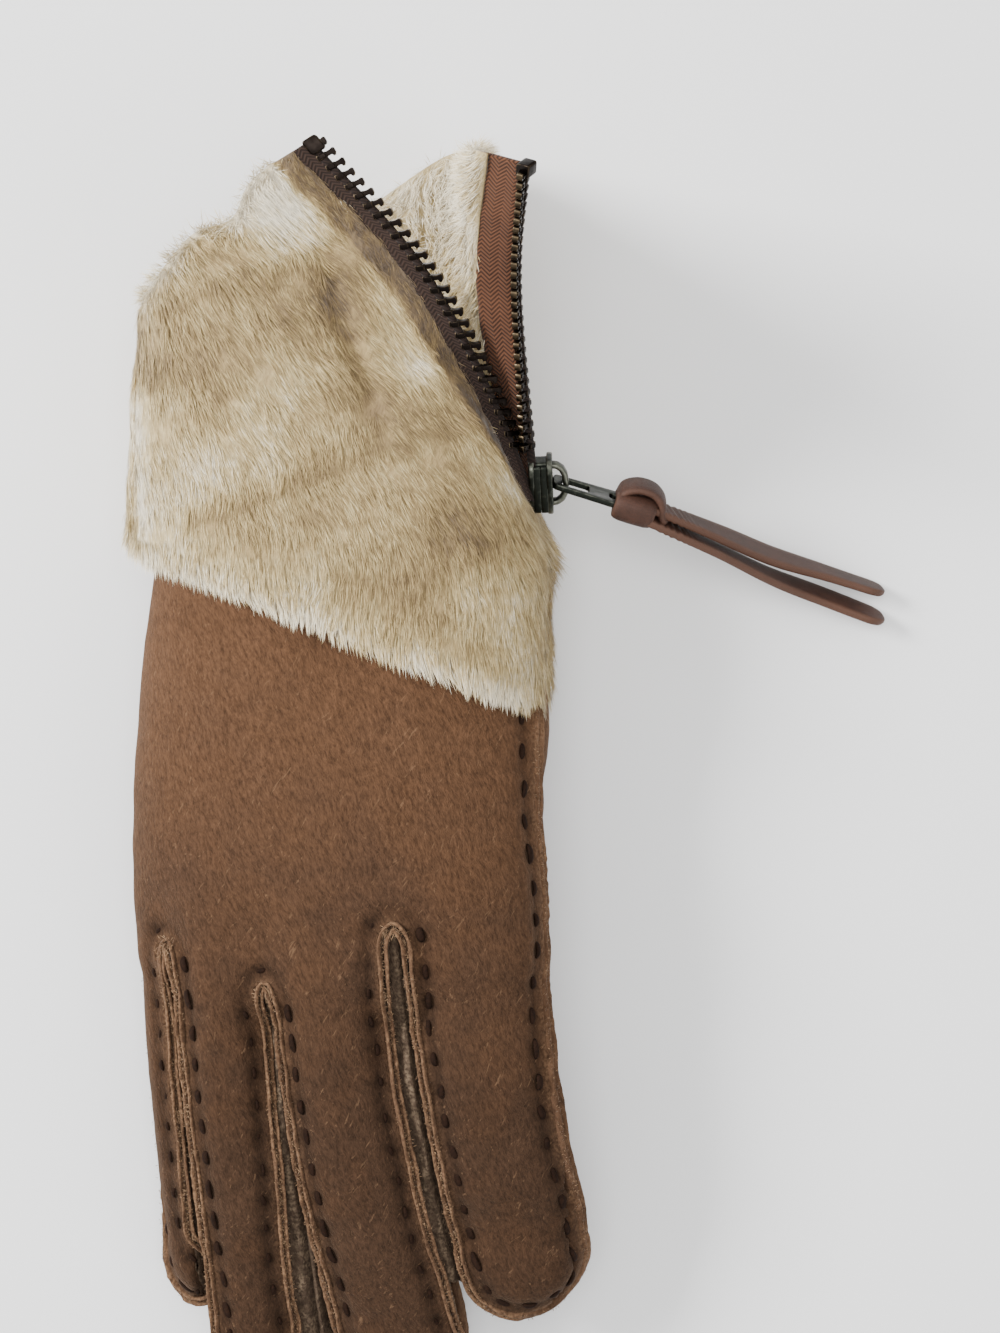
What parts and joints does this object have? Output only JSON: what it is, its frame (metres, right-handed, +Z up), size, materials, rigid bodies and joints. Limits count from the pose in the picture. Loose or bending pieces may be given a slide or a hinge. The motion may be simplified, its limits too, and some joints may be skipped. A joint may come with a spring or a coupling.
{
  "type": "shearling cuff dress glove",
  "caption": "Suede dress glove for the right hand, lying back up, with a wool-out shearling cuff, an open side zip and a knotted leather pull.",
  "frame": {"origin": "on the floor, under the middle of the palm's flat heel", "axes": "+Z up out of the back of the hand; +Y from the fingertips to the cuff; +X towards the index finger and the zip"},
  "size_m": [0.162, 0.2705, 0.0893],
  "materials": {
    "suede": "matt napped suede",
    "gusset_suede": "matt napped suede",
    "wool": "deep curled wool pile",
    "zip_tape": "woven herringbone tape",
    "zip_teeth": "dark antique brass, worn bright on edges",
    "gunmetal": "gunmetal plating, satin",
    "pull_leather": "fine grain, semi-matt"
  },
  "bodies": {
    "glove": {"back_panel": "suede", "palm_panel": "suede", "fourchette_1": "gusset_suede", "fourchette_2": "gusset_suede", "fourchette_3": "gusset_suede", "thumb": "suede", "cuff_back": "wool", "cuff_palm": "wool", "zip_tape_near": "zip_tape", "zip_tape_far": "zip_tape", "zip_teeth_near": "zip_teeth", "zip_teeth_far": "zip_teeth", "zip_slider": "gunmetal"},
    "zip_pull": {"pull_tab": "gunmetal", "pull_strap": "pull_leather"}
  },
  "joints": [
    {"name": "pull_swing", "type": "hinge", "parent": "glove", "child": "zip_pull", "pos_m": [0.0459, 0.03861, 0.02991], "axis": [-0.0141, -0.4316, 0.902], "range_deg": [0, 80]}
  ]
}
